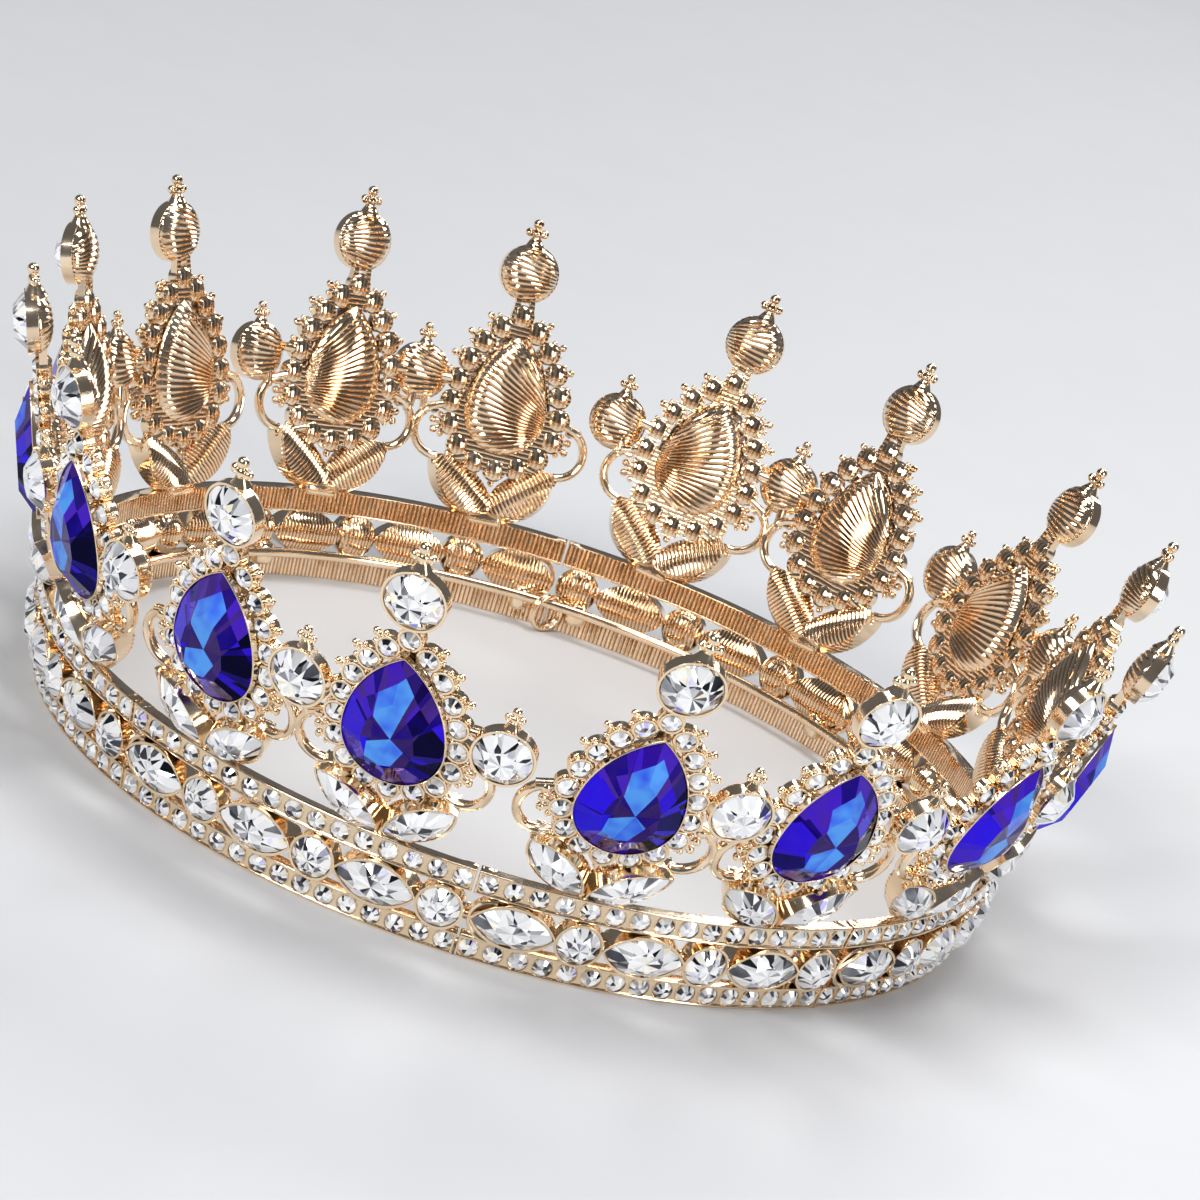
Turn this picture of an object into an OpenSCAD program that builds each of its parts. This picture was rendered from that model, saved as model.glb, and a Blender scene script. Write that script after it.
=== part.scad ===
/* [Ring] */
// Radius of the lower rail's outer face at mid height
ring_r = 62.5; // [60:0.5:65]
// Outward lean of the band of rails, in degrees
band_tilt = 9.6; // [8:0.2:11]
// Height of the whole band, from the base to the top of the upper rail
band_h = 12.1; // [11.9:0.1:12.6]
// Height of one rail
rail_h = 3.1; // [2.9:0.1:3.2]
// Thickness of the rails, front to back
rail_t = 1.6; // [1.5:0.1:1.8]
// Gap between two neighbouring panels at the rails
seam_gap = 0.3; // [0.2:0.05:0.5]
// Thickness of the base wire
wire_d = 1.3; // [1.1:0.1:1.4]
// Outer diameter of a split ring
split_ring_d = 5.4; // [5.2:0.1:5.5]

/* [Points] */
// Outward lean of the points, in degrees
flare = 18; // [15:0.5:20]
// Lean of the two points of a panel towards each other, in degrees
pair_lean = 3.4; // [2.5:0.1:4]
// Height of the pear stone's round centre above the upper rail
pear_v = 14.8; // [14.6:0.1:15.1]
// Height of the top stone's centre above the upper rail
top_v = 34.5; // [34.3:0.1:35]
// Height of the round stones between the points above the upper rail
between_v = 18.1; // [17.8:0.1:18.4]

/* [Stones] */
// Width of the blue pear stone
pear_w = 13; // [12.6:0.1:13.2]
// Length of the blue pear stone
pear_l = 18; // [17.8:0.1:18.2]
// Diameter of the round stone on top of each point
top_d = 7.4; // [7:0.1:7.6]
// Diameter of the round stones between the points
between_d = 7.2; // [6.8:0.1:7.3]
// Length of the marquise stones in the V of each point
leaf_l = 10.4; // [10:0.1:10.6]
// Width of the marquise stones in the V of each point
leaf_w = 5.2; // [4.8:0.1:5.3]
// Length of the marquise stones of the band
band_l = 10; // [9.6:0.1:10.2]
// Width of the marquise and round stones of the band
band_w = 5.2; // [4.8:0.1:5.3]
// Diameter of the small stones of the rails and halos
small_d = 2.45; // [2.3:0.05:2.5]

/* [Hidden] */
$fn = 48;
panel_count = 8;
point_count = 2 * panel_count;
panel_step = 360 / panel_count;
point_step = panel_step / 2;
rail_seats = 16;
band_seats = 6;
bezel = 0.4;
clear = 0.06;

pear_r = pear_w / 2;
pear_tip = pear_l - pear_r;
pear_rim = 0.7;
halo_r = pear_r + 1.2;
halo_tip = pear_tip + 2.45;
halo_drop = 0.35;
halo_steps = 9;
cup_wall = 0.3;
lip_h = 0.16;
lip_out = 0.22;
halo_cup_d = small_d + 2 * cup_wall;
halo_back = 1.5;
seat_depth = 0.9;
band_first = -17.2;
band_pitch = 7.36;
band_rim = 0.7;
between_rim = 1.8;
top_rim = 0.9;
leaf_rise = 37;
leaf_turn = 22;
leaf_rim = 0.6;
wire_r = wire_d / 2;
split_wire = 0.56;
base_wire_r = ring_r - 3.7;
base_wire_z = split_ring_d + 0.1 - split_wire - wire_r - 0.19;

panel_names = [for (i = [1:panel_count]) str("panel_", i)];
pear_names = [for (i = [1:point_count]) str("pear_", i)];
top_names = [for (i = [1:point_count]) str("top_stone_", i)];
ring_names = [for (i = [1:4]) str("ring_", i)];

gold = [0.86, 0.66, 0.42];
clear_stone = [0.88, 0.9, 0.93];
blue_stone = [0.1, 0.08, 0.75];

// Radius of the band's outer face at height z
function band_r(z) = ring_r + (z - rail_h / 2) * tan(band_tilt);
// Radius of the rails' back face at height z
function back_r(z) = band_r(z) - rail_t / cos(band_tilt);
// Height of the band's middle row of settings
band_mid = band_h / 2 - 0.05;
// The points stand on the upper rail, a little behind its face
root_r = band_r(band_h) - 0.6;
function panel_angle(i) = (i - 0.5) * panel_step;
function point_angle(k) = (k - 0.5) * point_step;
function point_lean(k) = (k % 2 == 1 ? -1 : 1) * pair_lean;

// Pear outline: a half circle of radius r, closed by two arcs that meet in a tip at height h above its centre
function side_r(r, h) = (r * r + h * h) / (2 * r);
function half_length(r, h) = r * PI / 2 + side_r(r, h) * asin(h / side_r(r, h)) * PI / 180;
function half_pear(r, h, s) = s <= r * PI / 2
    ? [r * sin(s / r * 180 / PI), -r * cos(s / r * 180 / PI)]
    : let (q = side_r(r, h), a = (s - r * PI / 2) / q * 180 / PI) [q * cos(a) - q + r, q * sin(a)];
function pear_points(r, h, n) = [for (i = [0:n - 1])
    let (s = min(i, n - i) * 2 * half_length(r, h) / n, p = half_pear(r, h, s))
    [i <= n / 2 ? p[0] : -p[0], p[1]]];

// Marquise outline: two equal arcs that meet in two tips
function leaf_r(l, w) = (l * l + w * w) / (4 * w);
function leaf_points(l, w, n) = let (q = leaf_r(l, w), a = asin(l / 2 / q)) [for (i = [0:n - 1])
    let (side = i < n / 2 ? -1 : 1, t = (i % (n / 2)) / (n / 2) * 2 - 1)
    [-side * q * sin(t * a), side * (q * cos(t * a) - q + w / 2)]];

function round_points(d, n) = [for (i = [0:n - 1]) d / 2 * [sin(i * 360 / n), -cos(i * 360 / n)]];

// Cut stone with a table, star, kite and girdle facets, and a pavilion that ends in a point.
// The outline has an even number of points, and the facets are scaled about centre.
module cut_stone(outline, crown, depth, table = 0.55, middle = 0.8, centre = [0, 0]) {
    n = len(outline);
    m = n / 2;
    star_z = crown * (1 - middle * cos(180 / m)) / (1 - table);
    function at(p, s, z) = [centre[0] + (p[0] - centre[0]) * s, centre[1] + (p[1] - centre[1]) * s, z];
    girdle = [for (p = outline) [p[0], p[1], 0]];
    stars = [for (i = [0:m - 1]) at(outline[2 * i + 1], middle, star_z)];
    tables = [for (i = [0:m - 1]) at(outline[2 * i], table, crown)];
    points = concat(girdle, stars, tables, [[centre[0], centre[1], -depth]]);
    star = n;
    top = n + m;
    tip = n + 2 * m;
    faces = concat(
        [[for (i = [0:m - 1]) top + i]],
        [for (i = [0:m - 1]) [star + i, top + (i + 1) % m, top + i]],
        [for (i = [0:m - 1]) [2 * i, star + i, top + i]],
        [for (i = [0:m - 1]) [2 * i, top + i, star + (i + m - 1) % m]],
        [for (i = [0:m - 1]) [2 * i, 2 * i + 1, star + i]],
        [for (i = [0:m - 1]) [2 * i + 1, (2 * i + 2) % n, star + i]],
        [for (i = [0:n - 1]) [(i + 1) % n, i, tip]]
    );
    polyhedron(points, [for (f = faces) [for (j = [len(f) - 1:-1:0]) f[j]]]);
}

// Flat outlines with true arcs, for cups and seats.
// The pear's side arcs start a little inside its round part.
module pear_shape(r, h) {
    waist = r * 0.985;
    q = side_r(waist, h);
    circle(r = r);
    intersection() {
        translate([q - waist, 0]) circle(r = q);
        translate([waist - q, 0]) circle(r = q);
        translate([-r, 0]) square([2 * r, h + 1]);
    }
}

module leaf_shape(l, w) {
    q = leaf_r(l, w);
    intersection() {
        translate([0, w / 2 - q]) circle(r = q);
        translate([0, q - w / 2]) circle(r = q);
    }
}

// Round cup with a tapered back, its rim at z = 0
module round_cup(d, depth, back_d) {
    translate([0, 0, -depth * 0.6]) cylinder(d = d, h = depth * 0.6);
    translate([0, 0, -depth]) cylinder(d1 = back_d, d2 = d, h = depth * 0.4 + 0.01);
}

// Pocket for a round stone: straight at the girdle, then tapered along the pavilion
module round_seat(d, depth) {
    translate([0, 0, -0.3]) cylinder(d = d + 0.04, h = 1.6);
    translate([0, 0, -depth]) cylinder(d1 = 0.4, d2 = d, h = depth - 0.28);
}

// Pocket for a marquise stone, in two steps
module leaf_seat(l, w, depth) {
    translate([0, 0, -1]) linear_extrude(1.6) leaf_shape(l, w);
    translate([0, 0, -depth]) linear_extrude(depth - 0.8) leaf_shape(l * 0.62, w * 0.62);
}

// Marquise cup whose back is rounded across its width, its rim at z = 0
module leaf_cup(l, w, depth) {
    barrel = w * 0.62;
    intersection() {
        translate([0, 0, -depth]) linear_extrude(depth) leaf_shape(l, w);
        translate([-l, 0, barrel - depth]) rotate([0, 90, 0]) cylinder(r = barrel, h = 2 * l);
    }
}

// Places a drawing (x right, y up, z outwards) on the band at an angle round the ring
module on_band(angle, z) {
    rotate([0, 0, angle]) translate([0, -band_r(z), z]) rotate([90 + band_tilt, 0, 0]) children();
}

// Places a drawing on the flared surface of the points, its origin at the top of the upper rail
module on_flare(angle, lean = 0) {
    rotate([0, 0, angle]) translate([0, -root_r, band_h]) rotate([90 + flare, 0, 0]) rotate([0, 0, lean])
        children();
}

module on_point(k) {
    on_flare(point_angle(k), point_lean(k)) children();
}

// Bead on a stalk that starts at a place of the drawing and runs in direction turn
module bead(place, turn, reach, d, z = -0.7) {
    translate([place[0], place[1], z]) rotate([0, 0, turn]) {
        rotate([0, 90, 0]) cylinder(d = d * 0.72, h = reach);
        translate([reach, 0, 0]) sphere(d = d);
    }
}

// Cone that crowns a round cup, with a bead on its end, two at its sides and one on top
module tip_beads(z, size) {
    translate([0, 0, z]) rotate([-90, 0, 0]) {
        cylinder(d1 = 3.2 * size, d2 = 1.1 * size, h = 1.9 * size);
        translate([0, 0, 2.2 * size]) sphere(d = 1.55 * size);
        translate([0, 0, 3.55 * size]) sphere(d = 1.5 * size);
        for (s = [-1, 1]) translate([s * 1.05 * size, 0, 2.35 * size]) sphere(d = 1.2 * size);
    }
}

// One rail of a panel: its section is revolved over the panel, with round ends at the outer stones
// and a thin rim round each stone. A narrow lip runs along the edge that faces the other rail.
module rail(z, lip) {
    pitch = panel_step / rail_seats;
    span = panel_step - pitch;
    top = z + rail_h;
    lower_lip = [[band_r(z) + lip_out, z + 0.02], [band_r(z) + lip_out, z + lip_h],
        [band_r(z + lip_h), z + lip_h]];
    upper_lip = [[band_r(top - lip_h), top - lip_h], [band_r(top) + lip_out, top - lip_h],
        [band_r(top) + lip_out, top - 0.02]];
    front = lip > 0 ? concat([[band_r(z), z]], upper_lip) : concat(lower_lip, [[band_r(top), top]]);
    rotate([0, 0, -90 - span / 2]) rotate_extrude(angle = span, $fn = 180)
        polygon(concat([[back_r(z), z]], front, [[back_r(top), top]]));
    middle = z + rail_h / 2;
    end_r = band_r(middle) * pitch / 2 * PI / 180 - seam_gap / 2;
    for (s = [-1, 1]) on_band(s * span / 2, middle) translate([0, 0, -rail_t + 0.03])
        cylinder(r = end_r, h = rail_t + 0.1);
    for (i = [1:rail_seats - 2]) on_band((i + 0.5 - rail_seats / 2) * pitch, middle)
        translate([0, 0, -0.5]) cylinder(d = small_d + 0.26, h = 0.64);
}

module rail_seats_cut(z) {
    pitch = panel_step / rail_seats;
    for (i = [0:rail_seats - 1]) on_band((i + 0.5 - rail_seats / 2) * pitch, z + rail_h / 2)
        translate([0, 0, -seat_depth]) cylinder(d = small_d + 0.06, h = seat_depth + 1);
}

function band_angle(j) = band_first + j * band_pitch;

module band_cups() {
    for (j = [0:2:band_seats - 1]) on_band(band_angle(j), band_mid) translate([0, 0, band_rim])
        leaf_cup(band_l + 2 * bezel, band_w + 2 * bezel + 0.1, 3.1);
    for (j = [1:2:band_seats - 1]) on_band(band_angle(j), band_mid) translate([0, 0, band_rim])
        round_cup(band_w + 2 * bezel, 3.1, band_w - 0.8);
}

module band_seats_cut() {
    for (j = [0:2:band_seats - 1]) on_band(band_angle(j), band_mid) translate([0, 0, band_rim])
        leaf_seat(band_l + 2 * clear + 0.1, band_w + 2 * clear, 2.25);
    for (j = [1:2:band_seats - 1]) on_band(band_angle(j), band_mid) translate([0, 0, band_rim])
        round_seat(band_w + 2 * clear, 2.3);
}

// Solder drops that reach from the rail's back to the base wire
module solder() {
    for (s = [-1, 1]) rotate([0, 0, s * (panel_step / 2 - 3.9)])
        translate([-0.9, -back_r(rail_h) - 0.4, rail_h - 1])
            cube([1.8, back_r(rail_h) + 0.4 - base_wire_r - wire_r - clear, base_wire_z + 1.4 - rail_h]);
}

function halo_place(i) = let (p = half_pear(halo_r, halo_tip, i * half_length(halo_r, halo_tip) / halo_steps))
    [p[0], p[1] + pear_v - halo_drop];
function halo_side(i) = i == 0 || i == halo_steps ? [1] : [-1, 1];

// Flat bar between two places of a drawing
module strip(a, b, width) {
    d = b - a;
    translate(a) rotate(atan2(d[1], d[0])) translate([0, -width / 2]) square([norm(d), width]);
}

// Pierced outline of a point in one piece: overlapping discs under the halo cups, the pear's cup,
// bars, scrolls and stem. The halo meets the pear's cup along its lower half and at the tip.
module point_profile(k) {
    translate([0, pear_v - halo_drop]) {
        intersection() {
            pear_shape(halo_r, halo_tip);
            translate([-halo_r - 1, -halo_r - 1]) square([2 * halo_r + 2, halo_r + 2.2]);
        }
        translate([-1, pear_tip - 2]) square([2, 3.6]);
    }
    translate([0, pear_v]) pear_shape(pear_r - 0.62, pear_tip - 0.75);
    for (i = [0:halo_steps]) for (s = halo_side(i))
        translate([s * halo_place(i)[0], halo_place(i)[1]]) circle(d = halo_cup_d + 0.25);
    for (s = [0, 1]) mirror([s, 0]) {
        strip([4.4, 7.9], [9, 6.5], 1.1);
        strip([8, pear_v - 0.1], [11.1, pear_v - 1.1], 0.9);
        translate([8.6, pear_v - 4.05]) intersection() {
            difference() {
                circle(r = 3.95);
                circle(r = 3.1);
            }
            union() {
                translate([-0.3, -5]) square([5, 5.1]);
                translate([1, 0]) square([5, 5]);
            }
        }
        translate([9.8, pear_v - 1.05]) circle(d = 1.3);
        strip([1.25, pear_v + pear_tip + 0.5], [0.9, top_v - 3.2], 0.8);
    }
    // Links to the round settings, on the panel's inner side and at its right end
    for (s = k == 1 ? [0] : [0, 1]) mirror([s, 0]) {
        strip([7.6, between_v + 0.1], [9.9, between_v + 0.15], 1.1);
        strip([11.3, pear_v - 1.9], [11.8, pear_v + 1.3], 0.9);
    }
}

module halo_cups() {
    for (i = [0:halo_steps]) for (s = halo_side(i))
        translate([s * halo_place(i)[0], halo_place(i)[1], -1]) cylinder(d = halo_cup_d, h = 1);
}

module halo_seats_cut() {
    for (i = [0:halo_steps]) for (s = halo_side(i))
        translate([s * halo_place(i)[0], halo_place(i)[1], -seat_depth]) cylinder(d = small_d + 0.06, h = 3);
}

// The pear's cup stands inside the outline of the stone, which overhangs it, and is domed behind
module pear_cup() {
    translate([0, pear_v, 0]) {
        translate([0, 0, -1]) linear_extrude(1.2) pear_shape(pear_r - 0.65, pear_tip - 0.8);
        translate([0, 0.3, -2.1]) linear_extrude(1.1) pear_shape(pear_r - 1.3, pear_tip - 1.8);
        translate([0, 0.6, -2.65]) linear_extrude(1.1) pear_shape(pear_r - 2.2, pear_tip - 3.1);
    }
}

module pear_seat_cut() {
    translate([0, pear_v, 0]) {
        translate([0, 0, -0.7]) linear_extrude(3) pear_shape(pear_r - 0.95, pear_tip - 1.15);
        translate([0, 0.7, -2.15]) linear_extrude(3) pear_shape(pear_r - 2.9, pear_tip - 5);
    }
}

module place_leaf() {
    rotate([0, 0, leaf_rise]) translate([leaf_l / 2 + 0.45, 0, 0]) rotate([leaf_turn, 0, 0]) children();
}

module leaf_cups() {
    for (s = [0, 1]) mirror([s, 0, 0]) translate([0, 0.1, 0]) place_leaf()
        translate([0, 0, leaf_rim]) leaf_cup(leaf_l + 2 * bezel, leaf_w + 2 * bezel, 2.9);
    translate([-2.3, -0.9, -1.25]) cube([4.6, 1.7, 1.35]);
}

module leaf_seats_cut() {
    for (s = [0, 1]) mirror([s, 0, 0]) translate([0, 0.1, 0]) place_leaf()
        translate([0, 0, leaf_rim]) leaf_seat(leaf_l + 2 * clear + 0.1, leaf_w + 2 * clear, 2.15);
}

module point(k) {
    translate([0, 0, -halo_back]) linear_extrude(halo_back - 0.45) point_profile(k);
    halo_cups();
    pear_cup();
    leaf_cups();
    translate([0, top_v, top_rim]) round_cup(top_d + 2 * bezel, 2.6, top_d - 1.6);
    translate([0, top_v + top_d / 2 - 0.35, 0]) tip_beads(-0.35, 1);
    for (s = [0, 1]) mirror([s, 0, 0]) {
        bead(halo_place(8), 38, 2.25, 1);
        bead(halo_place(7), 30, 2.3, 1);
        bead(halo_place(6), 16, 2.2, 1);
        bead(halo_place(3), 6, 2.4, 1.1);
        bead(halo_place(3), -28, 2.4, 1.1);
    }
    bead(halo_place(0), -90, 1.9, 1);
}

module point_cuts() {
    halo_seats_cut();
    pear_seat_cut();
    leaf_seats_cut();
    translate([0, top_v, top_rim]) round_seat(top_d + 2 * clear, 2.25);
}

function between_angles() = [0, panel_step / 2 - 1.2];

module place_between(angle) {
    on_flare(angle) translate([0, between_v, between_rim]) children();
}

module panel() {
    difference() {
        union() {
            rail(0, 1);
            rail(band_h - rail_h, -1);
            band_cups();
            solder();
            for (k = [1, 2]) on_flare(point_angle(k) - panel_step / 2, point_lean(k)) point(k);
            for (a = between_angles()) place_between(a) {
                round_cup(between_d + 2 * bezel, 2.6, between_d - 1.6);
                translate([0, between_d / 2 - 0.2, 0]) tip_beads(-1.2, 0.8);
            }
        }
        rail_seats_cut(0);
        rail_seats_cut(band_h - rail_h);
        band_seats_cut();
        for (k = [1, 2]) on_flare(point_angle(k) - panel_step / 2, point_lean(k)) point_cuts();
        for (a = between_angles()) place_between(a) round_seat(between_d + 2 * clear, 2.25);
    }
}

module pear() {
    translate([0, pear_v, pear_rim]) color(blue_stone)
        cut_stone(pear_points(pear_r, pear_tip, 20), 2.3, 2.6, 0.5, 0.78, [0, 1]);
}

module top_stone() {
    translate([0, top_v, top_rim - 0.15]) color(clear_stone) cut_stone(round_points(top_d, 16), 1.7, 1.85);
}

module scroll_stones() {
    for (i = [1:panel_count]) for (a = between_angles()) rotate([0, 0, panel_angle(i)]) place_between(a)
        translate([0, 0, -0.15]) color(clear_stone) cut_stone(round_points(between_d, 16), 1.6, 1.85);
}

module leaf_stones() {
    for (k = [1:point_count]) on_point(k) for (s = [0, 1]) mirror([s, 0, 0]) translate([0, 0.1, 0])
        place_leaf() translate([0, 0, leaf_rim - 0.15])
            color(clear_stone) cut_stone(leaf_points(leaf_l, leaf_w, 12), 1.3, 1.8);
}

module band_marquises() {
    for (i = [1:panel_count]) for (j = [0:2:band_seats - 1]) rotate([0, 0, panel_angle(i)])
        on_band(band_angle(j), band_mid) translate([0, 0, band_rim - 0.15])
            color(clear_stone) cut_stone(leaf_points(band_l, band_w, 12), 1.2, 1.9);
}

module band_rounds() {
    for (i = [1:panel_count]) for (j = [1:2:band_seats - 1]) rotate([0, 0, panel_angle(i)])
        on_band(band_angle(j), band_mid) translate([0, 0, band_rim - 0.15])
            color(clear_stone) cut_stone(round_points(band_w, 12), 1.3, 1.9);
}

module base_wire() {
    color(gold) translate([0, 0, base_wire_z])
        rotate_extrude($fn = 180) translate([base_wire_r, 0]) circle(r = wire_r);
}

// Double-turn split ring that hangs on the base wire at angle a, its turns just fused
module split_ring(a) {
    color(gold) rotate([0, 0, a]) translate([0, -base_wire_r, split_ring_d / 2 + 0.1]) rotate([0, 0, 40])
        rotate([90, 0, 0]) for (s = [-1, 1]) translate([0, 0, s * split_wire * 0.47])
            rotate_extrude() translate([split_ring_d / 2 - split_wire / 2, 0]) circle(d = split_wire);
}

for (i = [1:panel_count]) rotate([0, 0, panel_angle(i)]) color(gold) panel();
for (k = [1:point_count]) on_point(k) pear();
for (k = [1:point_count]) on_point(k) top_stone();
for (i = [1:4]) split_ring((i - 1) * 90);
scroll_stones();
leaf_stones();
band_marquises();
band_rounds();
base_wire();
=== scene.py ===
# %% [markdown]
# # Dressing a crystal crown
# This lesson takes the plain CAD model of a worn jewel, a ring of cast panels with tall points, and gives
# it what a jeweller adds last: cut and foiled stones, thin rims, solder and a polish. The CAD model holds
# the sizes, so every new piece is placed from the same few numbers and nothing is placed by eye.

import math
import random

import bmesh
import bpy
from mathutils import Matrix, Vector


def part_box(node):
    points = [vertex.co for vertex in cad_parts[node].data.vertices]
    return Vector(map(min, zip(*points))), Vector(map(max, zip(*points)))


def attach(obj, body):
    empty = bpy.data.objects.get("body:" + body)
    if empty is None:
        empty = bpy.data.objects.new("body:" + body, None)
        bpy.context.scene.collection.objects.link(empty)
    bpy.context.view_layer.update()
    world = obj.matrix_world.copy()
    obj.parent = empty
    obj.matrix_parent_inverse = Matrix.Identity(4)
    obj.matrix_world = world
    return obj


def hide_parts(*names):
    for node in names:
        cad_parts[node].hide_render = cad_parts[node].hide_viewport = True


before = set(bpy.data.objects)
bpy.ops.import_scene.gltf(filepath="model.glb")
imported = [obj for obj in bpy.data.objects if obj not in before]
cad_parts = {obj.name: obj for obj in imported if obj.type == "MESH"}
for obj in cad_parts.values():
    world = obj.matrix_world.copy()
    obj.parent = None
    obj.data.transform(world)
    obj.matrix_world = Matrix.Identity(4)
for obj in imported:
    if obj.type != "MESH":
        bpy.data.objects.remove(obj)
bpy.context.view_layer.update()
low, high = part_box("pear_1")
print("CAD nodes:", len(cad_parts), "pear 1 from", tuple(low), "to", tuple(high))

# %% [markdown]
# Jewellers work in millimetres and Blender in metres. Every shape below is modelled in millimetres and
# made small once, when it becomes a piece. The numbers are those of the crown's own drawing: the radius
# of the ring, how far its band and its points lean, and where each setting sits.

# %% The crown's measures, in millimetres and degrees
MM = 0.001
RING_R = 62.5
BAND_TILT = 9.6
BAND_H = 12.1
RAIL_H = 3.1
RAIL_T = 1.6
FLARE = 18
PAIR_LEAN = 3.4
PEAR_V = 14.8
TOP_V = 34.5
BETWEEN_V = 18.1
PANELS = 8
POINTS = 16
PANEL_NUMBERS = range(1, PANELS + 1)
POINT_NUMBERS = range(1, POINTS + 1)
PEAR_R = 6.5
PEAR_TIP = 11.5
HALO_R = 7.7
HALO_TIP = 13.95
HALO_STEPS = 9
HALO_DROP = 0.35
BAND_MID = BAND_H / 2 - 0.05
rng = random.Random(7)


def band_radius(z):
    """Radius of the band's outer face at height z."""
    return RING_R + (z - RAIL_H / 2) * math.tan(math.radians(BAND_TILT))


def back_radius(z):
    """Radius of the rails' back face at height z."""
    return band_radius(z) - RAIL_T / math.cos(math.radians(BAND_TILT))


ROOT_R = band_radius(BAND_H) - 0.6
print("radius where the points stand:", round(ROOT_R, 2))

# %% [markdown]
# A setting is drawn flat, with x to the right, y up and z outwards, away from the wearer's head, and then
# carried to its place. A matrix does the carrying: it leans the drawing back, moves it out to the ring and
# turns it round. The band leans by one angle and the points by another, so there are two such carriers.

# %% Carry a drawing to its place


def turn(axis, degrees):
    return Matrix.Rotation(math.radians(degrees), 4, axis)


def shift(x, y, z=0.0):
    return Matrix.Translation((x, y, z))


MIRROR_X = Matrix.Diagonal((-1, 1, 1, 1))
MIRROR_Y = Matrix.Diagonal((1, -1, 1, 1))


def on_band(angle, z):
    return turn("Z", angle) @ shift(0, -band_radius(z), z) @ turn("X", 90 + BAND_TILT)


def on_flare(angle, lean=0.0):
    return turn("Z", angle) @ shift(0, -ROOT_R, BAND_H) @ turn("X", 90 + FLARE) @ turn("Z", lean)


def on_point(k):
    """The drawing of point k, from 1 to 16. The two points of a panel lean towards each other."""
    return on_flare((k - 0.5) * 360 / POINTS, -PAIR_LEAN if k % 2 else PAIR_LEAN)


def panel_angle(i):
    return (i - 0.5) * 360 / PANELS


def on_panel(i):
    """Turns what was drawn facing -Y to panel i, from 1 to 8."""
    return turn("Z", panel_angle(i))


# %% [markdown]
# The pear outline is the crown's signature: a half circle closed by two long arcs that meet in a tip.
# The halo of small stones walks along a larger copy of it in equal steps.

# %% The pear outline and the halo's places


def side_radius(r, tip):
    """Radius of the long side arcs of a pear of radius r whose tip is at height tip."""
    return (r * r + tip * tip) / (2 * r)


def along_pear(r, tip, share):
    """Place on the right half of a pear's outline, from its bottom at 0 to its tip at 1."""
    q = side_radius(r, tip)
    low_part = r * math.pi / 2
    s = share * (low_part + q * math.asin(tip / q))
    if s <= low_part:
        return Vector((r * math.sin(s / r), -r * math.cos(s / r), 0))
    a = (s - low_part) / q
    return Vector((q * math.cos(a) - q + r, q * math.sin(a), 0))


def halo_places():
    """The middles of the 18 halo stones of a point."""
    places = []
    for i in range(HALO_STEPS + 1):
        p = along_pear(HALO_R, HALO_TIP, i / HALO_STEPS) + Vector((0, PEAR_V - HALO_DROP, 0))
        places.append(p)
        if 0 < i < HALO_STEPS:
            places.append(Vector((-p.x, p.y, 0)))
    return places


print("halo stones in a point:", len(halo_places()))

# %% [markdown]
# A stone is not moulded, it is ground. The cutter holds a rough block against a flat wheel, again and
# again, and every facet is one touch. Blender's bisect does the same: it cuts a mesh by a plane, and
# with clear_outer it throws away what lies beyond. Filling the open edge makes the new facet. So a stone
# is a list of planes, and no point of it has to be worked out by hand.

# %% Grind and score a stone


def block(half, top, bottom):
    """A rough block of glass, in millimetres."""
    bm = bmesh.new()
    size = Matrix.Diagonal((2 * half, 2 * half, top - bottom, 1))
    bmesh.ops.create_cube(bm, size=1, matrix=shift(0, 0, (top + bottom) / 2) @ size)
    return bm


def cut_away(bm, point, normal, merge=1e-5):
    """Throws away all that lies beyond one plane."""
    whole = bm.verts[:] + bm.edges[:] + bm.faces[:]
    bmesh.ops.bisect_plane(bm, geom=whole, dist=merge, plane_co=point, plane_no=normal, clear_outer=True)


def close_holes(bm):
    rim = [e for e in bm.edges if e.is_boundary]
    if rim:
        bmesh.ops.holes_fill(bm, edges=rim, sides=0)


def grind(bm, point, normal):
    """Grinds away all beyond one plane, and closes the facet that this leaves."""
    cut_away(bm, point, normal)
    close_holes(bm)


def score(bm, point, normal, chosen=lambda middle: True):
    """Draws a line where a plane meets the chosen facets of the upper side, and takes nothing away."""
    faces = [f for f in bm.faces if f.normal.z > 0.05 and chosen(f.calc_center_median())]
    edges = {e for f in faces for e in f.edges}
    verts = {v for f in faces for v in f.verts}
    geom = list(verts) + list(edges) + faces
    bmesh.ops.bisect_plane(bm, geom=geom, dist=1e-5, plane_co=point, plane_no=normal)


def slope(place, normal, inward, rise):
    """A plane that leaves the girdle at a place and has risen by rise after inward millimetres."""
    return place, Vector((normal.x * rise, normal.y * rise, inward)).normalized()


# %% [markdown]
# Every outline here is round, a pear or a marquise. Each is given as touches: a place on the girdle and
# the direction that the wheel comes from. The crown of the stone then takes three rows of touches, steep
# ones at the girdle, the long main facets, and shallow stars round the flat table.

# %% Outlines as places and directions


def direction(degrees):
    return Vector((math.cos(math.radians(degrees)), math.sin(math.radians(degrees)), 0))


def round_touches(r, count, start=0.0):
    ways = [direction(start + i * 360 / count) for i in range(count)]
    return [(way * r, way) for way in ways]


def marquise_touches(length, width, count):
    """Touches along the two arcs of a marquise, count to each arc."""
    q = (length * length + width * width) / (4 * width)
    reach = math.degrees(math.asin(length / 2 / q))
    touches = []
    for side in (90, -90):
        for i in range(count):
            n = direction(side + reach * ((2 * i + 1) / count - 1))
            centre = Vector((0, (width / 2 - q) * (1 if side > 0 else -1), 0))
            touches.append((centre + n * q, n))
    return touches


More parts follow.
